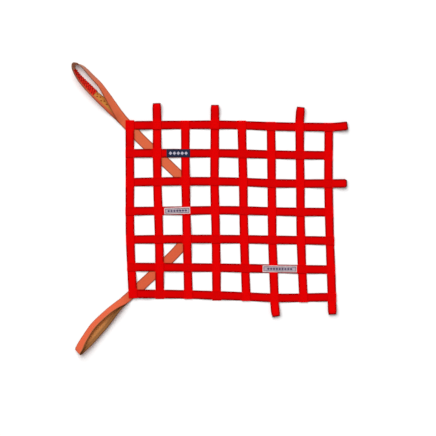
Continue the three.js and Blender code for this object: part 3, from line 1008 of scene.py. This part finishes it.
# Thread. Each stitch is a short rounded length of it that sinks into the cloth at both ends.
def stitchTemplate(long, thick):
    made = bmesh.new()
    bmesh.ops.create_uvsphere(made, u_segments=thread["around"], v_segments=thread["rings"], radius=0.5)
    bmesh.ops.rotate(made, matrix=Matrix.Rotation(pi / 2, 3, "Y"), verts=made.verts)
    bmesh.ops.scale(made, vec=Vector((long, thick, thick)) * mm, verts=made.verts)
    template = bpy.data.meshes.new("stitch")
    made.to_mesh(template)
    made.free()
    return template


def stitchPlace(point, along, normal):
    across = normal.cross(along).normalized()
    turned = Matrix((along.normalized(), across, normal)).transposed().to_4x4()
    return Matrix.Translation((point + shift) * mm) @ turned


def sewLine(places, start, end, normal, pitch):
    # straight row of stitches from start to end, on a cloth with that normal
    count = max(1, round((end - start).length / pitch))
    step = (end - start) / count
    for k in range(count):
        places.append(stitchPlace(start + step * (k + 0.5), step, normal))


def sewOn(places, path, clothThick, points, pitch):
    # rows of stitches through points (along, across) of a cloth that follows a path
    last = len(path["middle"]) - 1
    spots = []
    for along, across in points:
        row = min(max(round(along / path["long"] * last), 0), last)
        normal = path["through"][row]
        lift = clothThick / 2 + thread["proud"]
        spots.append((path["middle"][row] + path["across"][row] * across + normal * lift, normal))
    for (a, normalA), (b, normalB) in zip(spots, spots[1:]):
        sewLine(places, a, b, (normalA + normalB).normalized(), pitch)


def stitchPiece(name, places, template, material):
    sewn = bmesh.new()
    for place in places:
        template.transform(place)
        sewn.from_mesh(template)
        template.transform(place.inverted())
    piece = finishMesh(name, sewn, material)
    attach(piece, "root")
    return piece


threadLook = {
    "rough": 0.6,
    "gloss": 0.05,
    "sheen": 0.05,
    "twistScale": 1500,
    "twistDetail": 2,
    "twistShade": 0.3,
}


def threadMaterial(name, color):
    material, tree, shader = newMaterial(name, {**threadLook, "sheenColor": color})
    twist = noiseValue(tree, threadLook["twistScale"], threadLook["twistDetail"])
    shade = mapValue(tree, twist, 0, 1, 1 - threadLook["twistShade"], 1 + threadLook["twistShade"])
    made = addNode(tree, "HueSaturation", {"Color": (*color, 1)}, {"Value": shade})
    tree.links.new(made, shader.inputs["Base Color"])
    return material


stitch = stitchTemplate(thread["stitchLong"], thread["thick"])
redThread = threadMaterial("red thread", (0.58, 0.002, 0.003))
darkRedThread = threadMaterial("dark red thread", (0.24, 0.005, 0.003))
brightRedThread = threadMaterial("bright red thread", (0.80, 0.02, 0.012))
paleThread = threadMaterial("pale thread", (0.45, 0.42, 0.43))
navyThread = threadMaterial("navy thread", (0.012, 0.018, 0.05))

# A sewn box with a cross in it holds every crossing
boxPlaces = []
for upright in range(1, len(uprights) + 1):
    for cross in range(1, len(crosses) + 1):
        x, y = crossingPlace(upright, cross)
        swerve = lineAt("upright", upright, y + 1) - lineAt("upright", upright, y - 1)
        climb = lineAt("cross", cross, x + 1) - lineAt("cross", cross, x - 1)
        up, right = Vector((swerve, 2, 0)).normalized(), Vector((2, climb, 0)).normalized()
        isTab = ("upright", upright, cross) in tabs or ("cross", cross, upright) in tabs
        lift = corners.get((upright, cross), 0) * loopLayer
        top = (2 if isTab else 1) * layer + webbing["thick"] + lift
        half = thread["boxHalf"]
        for high, normal in ((top + thread["proud"], upward), (thread["underHigh"], -upward)):
            middle = Vector((x, y, high))
            signs = ((-1, -1), (1, -1), (1, 1), (-1, 1))
            a, b, c, d = (middle + right * i * half + up * j * half for i, j in signs)
            for start, end in ((a, b), (b, c), (c, d), (d, a), (a, c), (b, d)):
                sewLine(boxPlaces, start, end, normal, thread["stitchPitch"])
stitchPiece("net_stitches", boxPlaces, stitch, redThread)

# A zigzag in thick thread over the red tape, loops over its edge, and sparse stitches past its end
tapeSewing = {
    "pitch": 5.6,
    "half": 10.4,
    "thick": 1.1,
    "stitchLong": 4.6,
    "stitchPitch": 4,
    "loopPitch": 7.2,
    "loopThick": 3.4,
    "loopLong": 5.4,
    "loopSlant": 1.5,
    "loopPast": 1,  # beyond the tape's edge
    "loopProud": 2.4,
    "pastEnd": [(5, 6), (9, -2), (17, 4), (25, -4), (33, 2), (44, -1), (56, 3)],  # along from the end, across
    "tackLong": 6,
    "tackThick": 3.2,
    "tackStep": 3,  # from a tack's start to its end, along and across
}
singlePitch = 20  # longer than any row of one stitch
tapePlaces, tackPlaces, edgePlaces = [], [], []
points = []
for k in range(int(tapePath["long"] / tapeSewing["pitch"])):
    points.append(((k + 0.5) * tapeSewing["pitch"], tapeSewing["half"] * (1 if k % 2 else -1)))
sewOn(tapePlaces, tapePath, tape["thick"], points, tapeSewing["stitchPitch"])
thickStitch = stitchTemplate(tapeSewing["stitchLong"], tapeSewing["thick"])
stitchPiece("loop_tape_stitches", tapePlaces, thickStitch, darkRedThread)

tapeEnd = evenPath(loopStations(upperLoop, toUpperLeft, 0, tape["last"]), 1)["long"]
for past, across in tapeSewing["pastEnd"]:
    ends = [(tapeEnd + past + step, across + step) for step in (0, tapeSewing["tackStep"])]
    sewOn(tackPlaces, loopPaths["loop_strap_upper"], loopWebbing["thick"], ends, singlePitch)
tack = stitchTemplate(tapeSewing["tackLong"], tapeSewing["tackThick"])
stitchPiece("loop_strap_upper_tacks", tackPlaces, tack, darkRedThread)

loopEnd = tape["wide"] / 2 + tapeSewing["loopPast"]
for k in range(int(tapePath["long"] / tapeSewing["loopPitch"])):
    along = (k + 0.5) * tapeSewing["loopPitch"]
    ends = [(along, loopEnd - tapeSewing["loopLong"]), (along + tapeSewing["loopSlant"], loopEnd)]
    sewOn(edgePlaces, tapePath, tapeSewing["loopProud"], ends, singlePitch)
edgeStitch = stitchTemplate(tapeSewing["loopLong"], tapeSewing["loopThick"])
stitchPiece("loop_tape_edging", edgePlaces, edgeStitch, brightRedThread)

# A row of stitches round each label
labelSewing = {"inset": 1.2, "partLong": 3}
labelThreads = {"label_dark": navyThread, "label_pale_left": paleThread, "label_pale_right": paleThread}
for name, path in labelPaths.items():
    places = []
    inset = labelSewing["inset"]
    half, long = path["wide"][0] / 2 - inset, path["long"] - inset
    rim = [(inset, -half), (long, -half), (long, half), (inset, half), (inset, -half)]
    fine = []
    for (alongA, acrossA), (alongB, acrossB) in zip(rim, rim[1:]):
        parts = max(1, round(hypot(alongB - alongA, acrossB - acrossA) / labelSewing["partLong"]))
        fine += [(mix(alongA, alongB, k / parts), mix(acrossA, acrossB, k / parts)) for k in range(parts)]
    sewOn(places, path, labelCloth["thick"], fine + [rim[0]], thread["stitchPitch"])
    stitchPiece(name + "_stitches", places, stitch, labelThreads[name])
print("stitches sewn")

# Floor and light, in metres
floorSettings = {
    "radius": 8,
    "sides": 96,
    "below": 0.0003,
    "pale": 0.915,
    "rough": 0.9,
}
floorMesh = bmesh.new()
bmesh.ops.create_circle(
    floorMesh, cap_ends=True, segments=floorSettings["sides"], radius=floorSettings["radius"])
floorMaterial = bpy.data.materials.new("pale floor")
floorMaterial.use_nodes = True
floorShader = floorMaterial.node_tree.nodes["Principled BSDF"]
floorShader.inputs["Base Color"].default_value = (*[floorSettings["pale"]] * 3, 1)
floorShader.inputs["Roughness"].default_value = floorSettings["rough"]
floorShader.inputs["Specular IOR Level"].default_value = 0.0
floor = finishMesh("floor", floorMesh, floorMaterial, smooth=False)
floor.data.transform(Matrix.Translation((0, 0, -floorSettings["below"])))

lightSettings = {
    "world": 0.48,
    "power": 4180,
    "size": 20,
    "place": (-5.4, 10.1, 16.4),
}
world = bpy.data.worlds.new("studio")
bpy.context.scene.world = world
world.use_nodes = True
world.node_tree.nodes["Background"].inputs["Color"].default_value = (1, 1, 1, 1)
world.node_tree.nodes["Background"].inputs["Strength"].default_value = lightSettings["world"]
keyData = bpy.data.lights.new("key", "AREA")
keyData.energy = lightSettings["power"]
keyData.shape = "DISK"
keyData.size = lightSettings["size"]
key = bpy.data.objects.new("key", keyData)
key.location = lightSettings["place"]
key.rotation_euler = (-key.location).to_track_quat("-Z", "Y").to_euler()
bpy.context.scene.collection.objects.link(key)
bpy.context.scene.view_settings.view_transform = "Standard"
